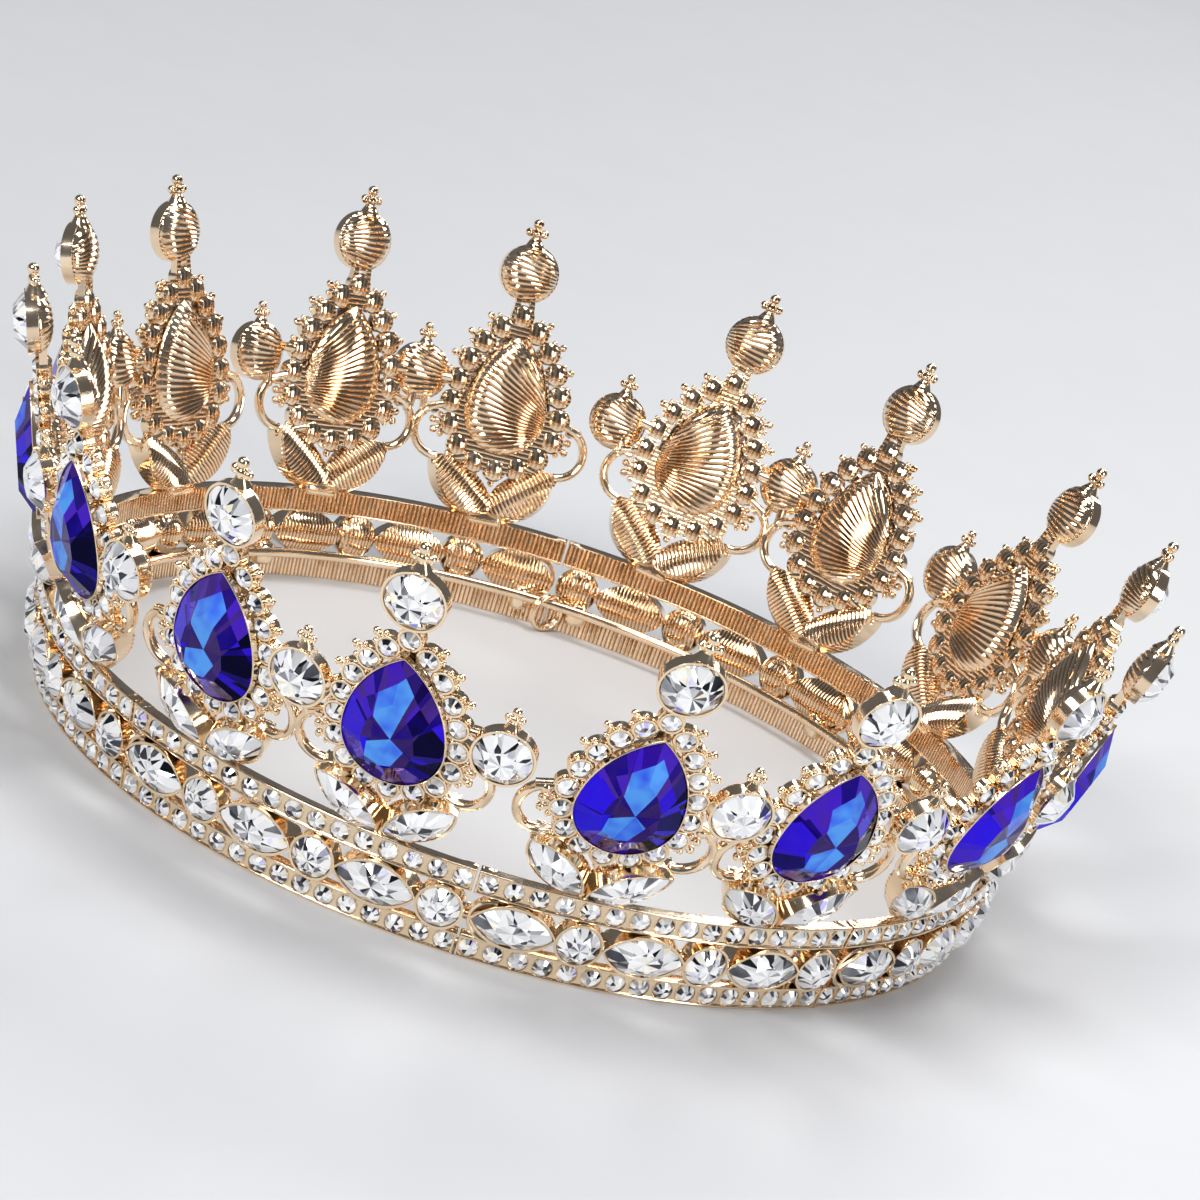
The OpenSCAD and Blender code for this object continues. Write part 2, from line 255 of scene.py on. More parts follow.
def pear_touches(r, tip, low_count, side_count):
    """Touches round the pear's half circle, and along its two side arcs."""
    q = side_radius(r, tip)
    reach = math.degrees(math.asin(tip / q))
    touches = [(direction(a) * r, direction(a)) for a in
               [180 + (i + 0.5) * 180 / low_count for i in range(low_count)]]
    for side in (1, -1):
        for i in range(side_count):
            n = direction((i + 0.5) * reach / side_count)
            place = Vector((r - q, 0, 0)) + n * q
            touches.append((Vector((side * place.x, place.y, 0)), Vector((side * n.x, n.y, 0))))
    return touches


def ring_slope(touch, centre, ratio, crown, start=1.0, lift=0.0):
    """The touch of one crown facet: it leaves the outline, shrunk to start, at height lift, and reaches
    the table, which is the outline shrunk to ratio, at the crown's height."""
    place, normal = touch
    depth = (place - centre).dot(normal)
    foot = centre + (place - centre) * start + Vector((0, 0, lift))
    return slope(foot, normal, depth * (start - ratio), crown - lift)


# %% Grind the rows that all stones share


def grind_rows(bm, outline, mains, centre, steep, table, crown):
    """The girdle, the steep row above it, and the main facets up to the table."""
    for place, normal in outline:
        grind(bm, place, normal)
    for touch in outline:
        grind(bm, *ring_slope(touch, centre, *steep))
    for touch in mains:
        grind(bm, *ring_slope(touch, centre, table, crown))


def grind_under(bm, outline, centre, depth):
    """The underside: one row of facets that meet below the centre."""
    for place, normal in outline[::2]:
        reach = (place - centre).dot(normal)
        grind(bm, place, Vector((normal.x, normal.y, -reach / depth)).normalized())


# %% [markdown]
# Behind each stone is a foil, and the cuts of its underside shine through the table as bright and dark
# wedges. Real refraction of hundreds of tiny stones is slow and noisy, so the wedges are scored on the
# upper side instead, and their reflections are painted on. Each scored facet keeps two random values of
# its own: how bright the reflection painted on its patch of foil is, and a small tilt, so that it
# mirrors another part of the room than its neighbour does.

# %% Random foil values for each facet


def foil_layers(bm):
    glint = bm.faces.layers.float.get("glint") or bm.faces.layers.float.new("glint")
    tilt = bm.faces.layers.float_vector.get("tilt") or bm.faces.layers.float_vector.new("tilt")
    return glint, tilt


def sparkle(bm, faces, amount=0.19):
    """Gives every facet a random brightness and a random tilt."""
    glint, tilt = foil_layers(bm)
    for f in faces:
        f[glint] = rng.random()
        f[tilt] = Vector((rng.uniform(-1, 1), rng.uniform(-1, 1), rng.uniform(-1, 1))) * amount


# %% [markdown]
# One function turns any finished shape into a piece: it shrinks it to metres, links it, gives it its
# finish and lets it ride on the crown.

# %% Make a piece


def make_piece(name, bm, finish, replaced=(), smooth=False):
    bmesh.ops.scale(bm, vec=(MM, MM, MM), verts=bm.verts)
    mesh = bpy.data.meshes.new(name)
    bm.to_mesh(mesh)
    bm.free()
    mesh.materials.append(finish)
    if smooth:
        mesh.shade_smooth()
        mesh.set_sharp_from_angle(angle=math.radians(40))
    piece = bpy.data.objects.new(name, mesh)
    bpy.context.scene.collection.objects.link(piece)
    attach(piece, "root")
    if replaced:
        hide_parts(*replaced)
    return piece


def stamp(bm, pattern, place):
    """Adds a copy of a pattern mesh at a place, and gives back its new faces."""
    before = len(bm.faces)
    copy = pattern.copy()
    copy.transform(place)
    bm.from_mesh(copy)
    bpy.data.meshes.remove(copy)
    bm.faces.ensure_lookup_table()
    faces = bm.faces[before:]
    if place.determinant() < 0:
        bmesh.ops.reverse_faces(bm, faces=faces)
    return faces


def keep_pattern(name, bm):
    """Stores a shape in millimetres, to be stamped many times."""
    bmesh.ops.recalc_face_normals(bm, faces=bm.faces)
    mesh = bpy.data.meshes.new(name)
    bm.to_mesh(mesh)
    print(name, "has", len(bm.faces), "faces")
    bm.free()
    return mesh


# %% [markdown]
# Materials are node graphs, and their sums are easier to read as sums. The small class below wraps one
# socket, and the usual signs after a wrapped socket add the Math nodes. Everything else, a noise, a ramp
# or a bump, comes from one method that sets a node up and feeds its sockets.

# %% Shader sums as plain sums


class Flow:
    """A socket that can stand in a sum."""

    def __init__(self, finish, socket):
        self.finish = finish
        self.socket = socket

    def math(self, operation, *values):
        return self.finish.node("ShaderNodeMath", dict(enumerate(values)), operation=operation)

    def __add__(self, other):
        return self.math("ADD", self, other)

    def __sub__(self, other):
        return self.math("SUBTRACT", self, other)

    def __mul__(self, other):
        return self.math("MULTIPLY", self, other)

    def wave(self):
        return self.math("SINE", self)

    def step(self, low, high):
        """0 below low and 1 above high, smooth between."""
        fed = {"Value": self, "From Min": low, "From Max": high}
        return self.finish.node("ShaderNodeMapRange", fed, interpolation_type="SMOOTHSTEP")


class Finish:
    """One material, with its nodes."""

    def __init__(self, name, **constants):
        self.material = bpy.data.materials.new(name)
        self.material.use_nodes = True
        self.tree = self.material.node_tree
        self.shader = self.tree.nodes["Principled BSDF"]
        for socket, value in constants.items():
            self.shader.inputs[socket.replace("_", " ")].default_value = value

    def node(self, kind, sockets=(), output=0, stops=(), **settings):
        """Any node, fed by sockets. A ramp has stops, each a place and a colour."""
        made = self.tree.nodes.new(kind)
        for key, value in settings.items():
            setattr(made, key, value)
        for _ in stops[2:]:
            made.color_ramp.elements.new(1.0)
        for number, (place, colour) in enumerate(stops):
            made.color_ramp.elements[number].position = place
            made.color_ramp.elements[number].color = (*colour, 1)
        for key, value in dict(sockets).items():
            self.feed(made.inputs[key], value)
        return Flow(self, made.outputs[output])

    def blend(self, share, first, second):
        """A mix of two colours: the first where share is 0, the second where it is 1."""
        return self.node("ShaderNodeMix", {0: share, 6: first, 7: second}, output=2, data_type="RGBA")

    def vector(self, operation, *values, output=0):
        return self.node("ShaderNodeVectorMath", dict(enumerate(values)), output, operation=operation)

    def feed(self, socket, value):
        if isinstance(value, Flow):
            self.tree.links.new(value.socket, socket)
        else:
            socket.default_value = value

    def shine(self, name, value):
        self.feed(self.shader.inputs[name], value)


# %% [markdown]
# The foiled glass has no colour of its own at any one place: a facet is white, grey or nearly black,
# by what its foil mirrors. Its finish therefore reads the facet's own values. The glint goes through a
# ramp into the base colour as a painted reflection, and the tilt leans the normal, while the clear coat
# on top keeps the true one.
# A soft noise moves the glint a little within a facet, since a real patch of foil is never quite even.
# The first stop of the blue ramp is the bare silver of the foil, as it shows beside the cup from behind.
# A clear stone gathers light from all round and sends it out at the front, which a painted facet can't
# do, so its brightest facets glow a little.

# %% Finishes of the stones


def foiled_glass(name, stops, mirror, milk, roughness, coat, gloss, glow=0.0):
    """Facets of low glint mirror like polished foil, and those of high glint glow more like milk."""
    f = Finish(name, Roughness=roughness, Coat_Weight=coat, Coat_Roughness=0.02, Specular_IOR_Level=gloss)
    place = f.node("ShaderNodeTexCoord", output="Object")
    uneven = f.node("ShaderNodeTexNoise", {"Vector": place, "Scale": 420.0, "Detail": 1.0})
    glint = f.node("ShaderNodeAttribute", output="Fac", attribute_name="glint") + (uneven - 0.5) * 0.16
    f.shine("Metallic", glint.step(0.15, 0.5) * (milk - mirror) + mirror)
    tilt = f.node("ShaderNodeAttribute", output="Vector", attribute_name="tilt")
    normal = f.node("ShaderNodeNewGeometry", output="Normal")
    f.shine("Normal", f.vector("NORMALIZE", f.vector("ADD", normal, tilt)))
    # Painted reflection: each facet's glint sets its base colour.
    f.shine("Base Color", f.node("ShaderNodeValToRGB", {"Fac": glint}, stops=stops))
    if glow:
        f.shine("Emission Color", f.blend(glint.step(0.35, 0.85), (0, 0, 0, 1), (1, 1, 1, 1)))
        f.shine("Emission Strength", glow)
    return f.material


# The tones of the painted reflections, with narrow bands of painted yellow and violet fire.
CLEAR_STOPS = [(0.0, (0.02, 0.02, 0.03)), (0.10, (0.07, 0.07, 0.09)), (0.19, (0.42, 0.43, 0.46)),
               (0.30, (0.92, 0.93, 0.95)), (0.92, (1.0, 1.0, 1.0)), (0.94, (1.0, 0.86, 0.50)),
               (0.96, (1.0, 1.0, 1.0)), (0.98, (0.97, 0.97, 1.0)), (1.0, (0.50, 0.46, 1.0))]
# The first tone is the foil's own silver; the others are painted reflections.
BLUE_STOPS = [(0.0, (0.66, 0.66, 0.78)), (0.02, (0.0, 0.0, 0.012)), (0.12, (0.001, 0.0, 0.035)),
              (0.25, (0.008, 0.0, 0.25)), (0.4, (0.035, 0.012, 0.13)), (0.5, (0.07, 0.02, 0.30)),
              (0.62, (0.06, 0.01, 0.58)), (0.8, (0.02, 0.0, 0.74)), (0.9, (0.015, 0.01, 0.84)),
              (1.0, (0.10, 0.38, 1.0))]
clear_glass = foiled_glass("clear foiled glass", CLEAR_STOPS, mirror=0.95, milk=0.3, roughness=0.04,
                           coat=1.0, gloss=0.6, glow=0.16)
blue_glass = foiled_glass("blue foiled glass", BLUE_STOPS, mirror=0.9, milk=0.6, roughness=0.07,
                          coat=0.05, gloss=0.25)
print("clear glass has", len(CLEAR_STOPS), "tones and blue glass", len(BLUE_STOPS))

# %% [markdown]
# The castings are plated a pale champagne gold and polished, and no two square millimetres mirror alike:
# the metal keeps the soft waves of the wax that it was cast from. The backs were never polished flat.
# The large ridges of the wax carver are modelled further on. The flat plates of the points keep only fine
# file strokes, less than a tenth of a millimetre deep, so these are a bump, seen only where the metal
# faces the wearer's head. The grooves are painted a deeper brown, painted shade that stands in for the
# light that bounces about in a groove and comes out darker and deeper in colour. A piece with modelled
# ridges tells by an attribute where its grooves are.
# The fronts, which face outwards, are painted a paler gold, painted light that stands in for the
# brighter light falling on them.

# %% Finish of the castings
PLATING_STOPS = [(0.3, (0.92, 0.68, 0.44)), (0.7, (0.98, 0.81, 0.61))]
# Painted light: the paler gold that the fronts are painted with.
FRONT_PAINTED_LIGHT = (1.0, 0.80, 0.55, 1)
# Painted shade: the deep brown that the grooves are painted with.
PAINTED_GROOVE_SHADE = (0.42, 0.19, 0.06, 1)
STROKE_PITCH = 0.0006
STROKES_FROM = 0.0125
STROKE_DEPTH = 0.00006
SOFT_EDGE = 0.00009


def cast_gold(name, ridged=True, wave=0.5):
    f = Finish(name, Metallic=1.0)
    place = f.node("ShaderNodeTexCoord", output="Object")
    patches = f.node("ShaderNodeTexNoise", {"Vector": place, "Scale": 260.0, "Detail": 3.0})
    plating = f.node("ShaderNodeValToRGB", {"Fac": patches}, stops=PLATING_STOPS)
    f.shine("Roughness", patches.step(0.3, 0.8) * 0.12 + 0.07)
    wax = f.node("ShaderNodeTexNoise", {"Vector": place, "Scale": 620.0, "Detail": 2.0})
    height = wax * wave
    # Where a piece marks its grooves, they are painted with shade.
    groove_shade = f.node("ShaderNodeAttribute", output="Fac", attribute_name="groove_shade").step(0.2, 1.0)
    if ridged:
        x, y, z = (f.node("ShaderNodeSeparateXYZ", {0: place}, output=i) for i in range(3))
        outward = f.vector("NORMALIZE", f.node("ShaderNodeCombineXYZ", {0: x, 1: y}))
        normal = f.node("ShaderNodeNewGeometry", output="Normal")
        facing = f.vector("DOT_PRODUCT", outward, normal, output="Value")
        behind = (facing * -1.0).step(0.25, 0.6)
        above_rails = z.step(STROKES_FROM, STROKES_FROM + 0.001)
        strokes = (z * (math.tau / STROKE_PITCH) + wax * 3.0).wave() * above_rails
        height = height + strokes * behind
        # The troughs of the file strokes on the backs are painted with shade as well.
        groove_shade = (strokes * -1.0).step(0.0, 0.9) * behind
        # Painted light: metal that faces outwards is mixed towards the paler gold.
        plating = f.blend(facing.step(0.3, 0.8), plating, FRONT_PAINTED_LIGHT)
    # Painted shade: the grooves are mixed towards the deep brown.
    f.shine("Base Color", f.blend(groove_shade * 0.78, plating, PAINTED_GROOVE_SHADE))
    soft = f.node("ShaderNodeBevel", {"Radius": SOFT_EDGE}, samples=4)
    f.shine("Normal", f.node("ShaderNodeBump", {
        "Strength": 0.6, "Distance": STROKE_DEPTH, "Height": height, "Normal": soft}))
    return f.material


gold = cast_gold("cast champagne gold")
smooth_gold = cast_gold("polished champagne gold", ridged=False, wave=0.3)
drawn_gold = cast_gold("drawn gold wire", ridged=False, wave=0.15)
finished = [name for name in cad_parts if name.startswith(("panel", "ring", "base_wire"))]
for name in finished:
    for node_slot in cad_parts[name].material_slots:
        node_slot.material = gold if name.startswith("panel") else drawn_gold
print("plated", len(finished), "nodes of the castings, the wire and its rings")

# %% [markdown]
# The clear stones are all the same cut in different outlines. A round brilliant has eight main facets,
# eight stars and sixteen girdle facets, and the same three rows work on a marquise. The underside is
# hidden in its cup, so it takes one row of touches only.

# %% Cut a clear stone


def cut_clear(name, half, outline, mains, crown, depth):
    """A clear stone from a block of twice half, its girdle at z = 0 and its table upwards."""
    table, wedges, ring = 0.55, 8, 0.42
    centre = Vector((0, 0, 0))
    bm = block(half, crown, -depth)
    grind_rows(bm, outline, mains, centre, (table + 0.30, crown * 0.72), table, crown)
    for (a, na), (b, nb) in zip(mains, mains[1:] + mains[:1]):
        between = ((a + b) / 2, (na + nb).normalized())
        grind(bm, *ring_slope(between, centre, table * 1.02, crown, start=0.84, lift=crown * 0.62))
    grind_under(bm, outline, centre, depth)
    for i in range(wedges):
        score(bm, centre, direction(90 + (i + 0.5) * 180 / wedges))
    for place, normal in mains:
        score(bm, place * ring, normal)
    return keep_pattern(name, bm)


def cut_round(name, r, girdle, crown, depth):
    outline, mains = (round_touches(r, count) for count in (girdle, 8))
    return cut_clear(name, math.ceil(r) + 2, outline, mains, crown, depth)


brilliant = cut_round("brilliant", 3.67, 32, 1.7, 1.85)
scroll_brilliant = cut_round("scroll_brilliant", 3.6, 32, 1.6, 1.85)
band_brilliant = cut_round("band_brilliant", 2.6, 24, 1.3, 1.9)

# %% Cut the marquises
LEAF_L = 10.4
BAND_L = 10.0
MARQUISE_W = 5.2


def cut_marquise(name, length, crown, depth):
    outline, mains = (marquise_touches(length, MARQUISE_W, count) for count in (7, 3))
    return cut_clear(name, 8, outline, mains, crown, depth)


leaf_cut = cut_marquise("leaf_cut", LEAF_L, 1.3, 1.8)
band_cut = cut_marquise("band_cut", BAND_L, 1.2, 1.9)

# %% [markdown]
# The stones that stand in the CAD model are replaced one for one: the new cut takes the place, the girdle
# and the height of the old one, so it still sits in the cup that was made for it. The left leaf is the
# right one mirrored, and that alone would turn the stone inside out. A marquise is the same both ways
# up, so it is mirrored once more on itself first.

# %% Set the clear stones
LEAF_RISE = 37
LEAF_TURN = 22
LEAF_START = 0.45
BAND_FIRST = -17.2
BAND_PITCH = 7.36
BAND_SEATS = 6
BETWEEN_TURNS = (0, 21.3)


def field_of(name, pattern, places, replaced):
    bm = bmesh.new()
    foil_layers(bm)
    for place in places:
        sparkle(bm, stamp(bm, pattern, place))
    return make_piece(name, bm, clear_glass, replaced)


def leaf_places(lift):
    leaf = (shift(0, 0.1) @ turn("Z", LEAF_RISE) @ shift(LEAF_L / 2 + LEAF_START, 0) @ turn("X", LEAF_TURN)
            @ shift(0, 0, lift))
    return [on_point(k) @ side for k in POINT_NUMBERS for side in (leaf, MIRROR_X @ leaf @ MIRROR_Y)]


def band_places(first):
    """Every other place of the band, from the first one of each panel on."""
    return [on_panel(i) @ on_band(BAND_FIRST + BAND_PITCH * j, BAND_MID) @ shift(0, 0, 0.55)
            for i in PANEL_NUMBERS for j in range(first, BAND_SEATS, 2)]


def between_places(lift):
    return [on_panel(i) @ on_flare(a) @ shift(0, BETWEEN_V, lift)
            for i in PANEL_NUMBERS for a in BETWEEN_TURNS]


for k in POINT_NUMBERS:
    field_of(f"top_stone_{k}_cut", brilliant, [on_point(k) @ shift(0, TOP_V, 0.75)], [f"top_stone_{k}"])
field_of("scroll_stones_cut", scroll_brilliant, between_places(1.65), ["scroll_stones"])
field_of("leaf_stones_cut", leaf_cut, leaf_places(0.45), ["leaf_stones"])
field_of("band_marquises_cut", band_cut, band_places(0), ["band_marquises"])
field_of("band_rounds_cut", band_brilliant, band_places(1), ["band_rounds"])
in_fields = between_places(0) + leaf_places(0) + band_places(0) + band_places(1)
print("set", POINTS + len(in_fields), "clear stones")

# %% [markdown]
# The blue pears are what everyone looks at. Through the table of a real one two large kites of the
# underside flash light blue, one towards the tip and one below it, and meet in a point near the middle
# of the round part, the heart. The facets between them stay a dark violet, those on the left glow royal
# blue and those on the right are nearly black. So the sides of the two kites are scored first, then a few
# lines through the heart outside them. Each facet takes its glint from where it lies, with a little
# chance added, as no two stones catch the light alike.

# %% Cut a pear
HEART = Vector((0.3, 1.4, 0))
KITES = [[(0.3, 1.4), (2.05, 7.5), (0.7, 9.4), (-2.2, 6.7), (-2.1, 3.8)],
         [(0.3, 1.4), (-2.5, 0.1), (-2.6, -3.3), (0.8, -2.4), (2.1, 0.1)]]


def kite_sides(kite):
    """The sides of a kite, each as a place and the direction that points out of it."""
    corners = [Vector((x, y, 0)) for x, y in kite]
    for start, end in zip(corners, corners[1:] + corners[:1]):
        side = end - start
        yield start, Vector((side.y, -side.x, 0)).normalized()


def kite_of(middle):
    """Number of the kite that a place lies in, or None."""
    for number, kite in enumerate(KITES):
        if max((middle - start).dot(out) for start, out in kite_sides(kite)) < 0.02:
            return number
    return None


def cut_pear():
    """The blue stone, its girdle at z = 0 and its tip up."""
    crown, depth, table = 2.3, 2.6, 0.5
    centre = Vector((0, 1, 0))
    outline = pear_touches(PEAR_R, PEAR_TIP, 14, 7)
    mains = pear_touches(PEAR_R, PEAR_TIP, 4, 3)
    bm = block(14, crown, -depth)
    grind_rows(bm, outline, mains, centre, (table + 0.32, crown * 0.66), table, crown)
    grind_under(bm, outline, centre, depth)
    for kite in KITES:
        for place, normal in kite_sides(kite):
            score(bm, place, normal)
    for degrees in (15, 60, 105, 150):
        score(bm, HEART, direction(degrees + 90), lambda middle: kite_of(middle) is None)
    return keep_pattern("pear_cut", bm)


pear_cut = cut_pear()

# %% Set the pears
HEART_GLINTS = (0.38, 0.4, 0.42, 0.3)
RIGHT_GLINTS = (0.07, 0.1, 0.14, 0.24, 0.78)
# Seen from the heart, the glints in each range of directions.
GLINTS = [(50, 95, (0.3, 0.42, 0.46, 0.6)), (95, 150, (0.6, 0.64, 0.5, 0.28)),
          (150, 235, (0.8, 0.84, 0.76, 0.2, 0.66)), (235, 305, (0.46, 0.5, 0.6, 0.42, 0.24))]


def pear_glint(middle):
    """The glint of a facet from the place of its middle, in the pear's own drawing."""
    if middle.z < -0.01:
        return -0.2
    if kite_of(middle) is not None:
        return 1.0 - 0.05 * rng.random()
    if (middle - HEART).to_2d().length < 3.4:
        return rng.choice(HEART_GLINTS)
    around = math.degrees(math.atan2(middle.y - HEART.y, middle.x - HEART.x)) % 360
    for first, last, glints in GLINTS:
        if first <= around < last:
            return rng.choice(glints)
    return rng.choice(RIGHT_GLINTS)


def set_pear(k):
    bm = bmesh.new()
    glint, tilt = foil_layers(bm)
    faces = stamp(bm, pear_cut, Matrix.Identity(4))
    sparkle(bm, faces, 0.09)
    lean = [Vector((rng.uniform(-0.08, 0.08), rng.uniform(-0.08, 0.08), 0)) for _ in KITES]
    for f in faces:
        middle = f.calc_center_median()
        f[glint] = pear_glint(middle)
        if kite_of(middle) is not None:
            f[tilt] = f[tilt] * 0.3 + lean[kite_of(middle)]
    bmesh.ops.transform(bm, matrix=on_point(k) @ shift(0, PEAR_V, 0.7), verts=bm.verts)
    return make_piece(f"pear_{k}_cut", bm, blue_glass, [f"pear_{k}"])


for k in POINT_NUMBERS:
    set_pear(k)
print("set", POINTS, "pears")

# %% [markdown]
# The rails and halos hold more than five hundred chatons, small round stones of the size of a pinhead.
# A shape that is repeated so often has to be lean: twelve sides, twelve crown facets and a scored table
# are enough to sparkle at this size. An extrusion leaves its faces in no fixed order, so they are put in
# order along a slanted line, and each run deals them the same glints.

# %% Cut and set the small stones
RAIL_SEATS = 16
RAIL_MIDS = (RAIL_H / 2, BAND_H - RAIL_H / 2)
SORT_LINE = Vector((1.0, 0.37, 7.3))


def cut_small():
    r, crown, depth = 1.2, 0.5, 0.55
    centre = Vector((0, 0, 0))
    bm = bmesh.new()
    bmesh.ops.create_cone(bm, cap_ends=True, segments=12, radius1=r * 0.3, radius2=r, depth=depth,
                          matrix=shift(0, 0, -depth / 2))
    rim = [f for f in bm.faces if f.normal.z > 0.9]
    lifted = bmesh.ops.extrude_face_region(bm, geom=rim)["geom"]
    tops = [v for v in lifted if isinstance(v, bmesh.types.BMVert)]
    bmesh.ops.delete(bm, geom=rim, context="FACES_ONLY")
    bmesh.ops.translate(bm, vec=(0, 0, crown), verts=tops)
    for touch in round_touches(r, 6, 15):
        grind(bm, *ring_slope(touch, centre, 0.55, crown))
    for touch in round_touches(r, 6, 45):
        grind(bm, *ring_slope(touch, centre, 0.60, crown * 0.9))
    for i in range(3):
        score(bm, centre, direction(90 + 15 + i * 60))
    bm.faces.sort(key=lambda f: f.calc_center_median().dot(SORT_LINE))
    return keep_pattern("small_cut", bm)


small_cut = cut_small()
rail_angles = [(s + 0.5 - RAIL_SEATS / 2) * 360 / PANELS / RAIL_SEATS for s in range(RAIL_SEATS)]
rail_places = [on_panel(i) @ on_band(a, z) @ shift(0, 0, 0.02)
               for i in PANEL_NUMBERS for z in RAIL_MIDS for a in rail_angles]
halo_spots = [on_point(k) @ shift(p.x, p.y, -0.05) for k in POINT_NUMBERS for p in halo_places()]
field_of("rail_stones", small_cut, rail_places, [])
field_of("halo_stones", small_cut, halo_spots, [])
print("set", len(rail_places), "rail stones and", len(halo_spots), "halo stones")

# %% [markdown]
# A pear stone does not float on its cup: a thin strip of metal, the bezel, is pushed up round its girdle.
# It is one small section drawn along the pear outline. A spin does that for an arc, so the strip is spun
# twice, a quarter turn for the round part and then along the side arc. It is trimmed at the middle line
# and mirrored, which gives a true mitre at the tip.

# %% Draw a section and spin it


def section_of(bm, corners):
    """A closed outline through the corners, as its vertices and its edges."""
    verts = [bm.verts.new(corner) for corner in corners]
    return verts + [bm.edges.new(pair) for pair in zip(verts, verts[1:] + verts[:1])]


def spin_round(bm, geom, centre, degrees, steps):
    """Spins a section about an upright axis."""
    bmesh.ops.spin(bm, geom=geom, cent=centre, axis=(0, 0, 1), dvec=(0, 0, 0),
                   angle=math.radians(degrees), steps=steps)


# %% Draw the bezels of the pears


def bezel(r, tip, width, foot, height):
    """A thin strip round a pear outline, its inner face at radius r."""
    q = side_radius(r, tip)
    bm = bmesh.new()
    section = section_of(bm, [(r, 0, foot), (r + width, 0, foot), (r + width, 0, height - width / 2),
                              (r + width / 2, 0, height), (r, 0, height)])
    spin_round(bm, section, (0, 0, 0), -92, 14)
    spin_round(bm, section, (r - q, 0, 0), math.degrees(math.asin(tip / q)) + 2, 12)
    bmesh.ops.remove_doubles(bm, verts=bm.verts, dist=1e-4)
    cut_away(bm, (0, 0, 0), (-1, 0, 0))
    whole = bm.verts[:] + bm.edges[:] + bm.faces[:]
    bmesh.ops.mirror(bm, geom=whole, merge_dist=1e-3, axis="X")
    return keep_pattern("bezel_strip", bm)


bezel_strip = bezel(PEAR_R - 0.06, PEAR_TIP + 0.02, 0.17, 0.2, 0.98)


def trim_of(name, stamps, finish=smooth_gold):
    """One piece of gold trim from many stamped patterns."""
    bm = bmesh.new()
    for pattern, place in stamps:
        stamp(bm, pattern, place)
    return make_piece(name, bm, finish, smooth=True)


trim_of("pear_bezels", [(bezel_strip, on_point(k) @ shift(0, PEAR_V)) for k in POINT_NUMBERS])
print("drew", POINTS, "bezels")

# %% [markdown]
# From behind, each large stone sits in a cup that is domed like the bowl of a spoon, and the carver drew
# ribs across it that fan out from one side. A line spun about the point where the ribs would meet makes a
# net that already runs along them. The net is ground to the cup's outline with planes, as a stone is, and
# every point of it then sinks by how far it is from the rim, and rises or falls with the ribs. Where the
# ribs run side by side, as on the cups of the band, they meet too, only very far away.

# %% A ribbed shell over any outline


def to_circle(start, ray, centre, radius):
    """How far a ray from inside a circle runs before it meets it."""
    away = start - centre
    along = away.dot(ray)
    return -along + math.sqrt(along * along - away.length_squared + radius * radius)


def pear_share(place, r, tip, start):
    """0 at a place inside the pear outline and 1 on the outline, in steps that grow evenly between."""
    if (place - start).length < 1e-6:
        return 0.0
    q = side_radius(r, tip)
    ray = (place - start).normalized()
    side = min(to_circle(start, ray, Vector((x, 0, 0)), q) for x in (r - q, q - r))
    reach = side if (start + ray * side).y >= 0 else to_circle(start, ray, Vector((0, 0, 0)), r)
    return min(1.0, (place - start).length / reach)


NET_SPARE = 0.8
SHELL_DEPTH = 0.5


def draw_out(bm, edges, way):
    """Draws edges out along a vector, which gives them a wall."""
    made = bmesh.ops.extrude_edge_only(bm, edges=edges)["geom"]
    bmesh.ops.translate(bm, vec=way, verts=[g for g in made if isinstance(g, bmesh.types.BMVert)])


def ribbed_back(name, touches, height, fan, pitch, relief, rows=9, steps=4):
    """A closed shell over an outline. Its ribs meet at fan, and lie about pitch apart in the middle."""
    around = [math.degrees(math.atan2(p.y - fan.y, p.x - fan.x)) for p, _ in touches]
    apart = [(p - fan).length for p, _ in touches]
    near, far = min(apart) - NET_SPARE, max(apart) + NET_SPARE
    spare = math.degrees(NET_SPARE / fan.length)
    first, last = min(around) - spare, max(around) + spare
    ribs = round(math.radians(last - first) * fan.length / pitch)
    bm = bmesh.new()
    verts = [bm.verts.new((near + (far - near) * i / rows, 0, 0)) for i in range(rows + 1)]
    line = [bm.edges.new(pair) for pair in zip(verts, verts[1:])]
    spin_round(bm, verts + line, (0, 0, 0), last - first, steps * ribs)
    bmesh.ops.transform(bm, matrix=shift(fan.x, fan.y) @ turn("Z", first), verts=bm.verts)
    for place, normal in touches:
        cut_away(bm, place, normal, merge=1e-4)
    # This attribute marks where the ribs dip, for the finish's painted shade.
    groove_shade = bm.verts.layers.float.new("groove_shade")
    for v in bm.verts:
        turned = (math.degrees(math.atan2(v.co.y - fan.y, v.co.x - fan.x)) - first) / (last - first)
        z, strength = height(v.co)
        rib = math.cos(math.tau * ribs * turned)
        v[groove_shade] = strength * (0.5 - 0.5 * rib)
        v.co.z = z - relief * strength * rib
    draw_out(bm, [e for e in bm.edges if e.is_boundary], (0, 0, SHELL_DEPTH))
    close_holes(bm)
    return keep_pattern(name, bm)


def domed(share_of, depth):
    """Height of a dome whose rim lies at z = 0, and how strong its ribs are there."""
    def height(place):
        share = share_of(place)
        return -depth * (1 - share * share) ** 0.55, min(1.0, 6 * (1 - share))
    return height


def hulled(length, width, depth, swell):
    """Height of the back of a marquise cup: a barrel across its width, like a boat's hull along it."""
    barrel = width * 0.62

    def height(place):
        along = min(1.0, 2 * abs(place.x) / length)
        across = barrel - depth - math.sqrt(barrel * barrel - place.y * place.y)
        return across - 0.12 - swell * (1 - along * along), 1.0
    return height


# %% Raise the domed backs of the settings
SPOON = Vector((0, 1.5, 0))
CUP_R = PEAR_R - 0.64
CUP_TIP = PEAR_TIP - 0.78
FAR_BELOW = Vector((0, -300, 0))


def round_share(r):
    return lambda place: min(1.0, place.length / r)


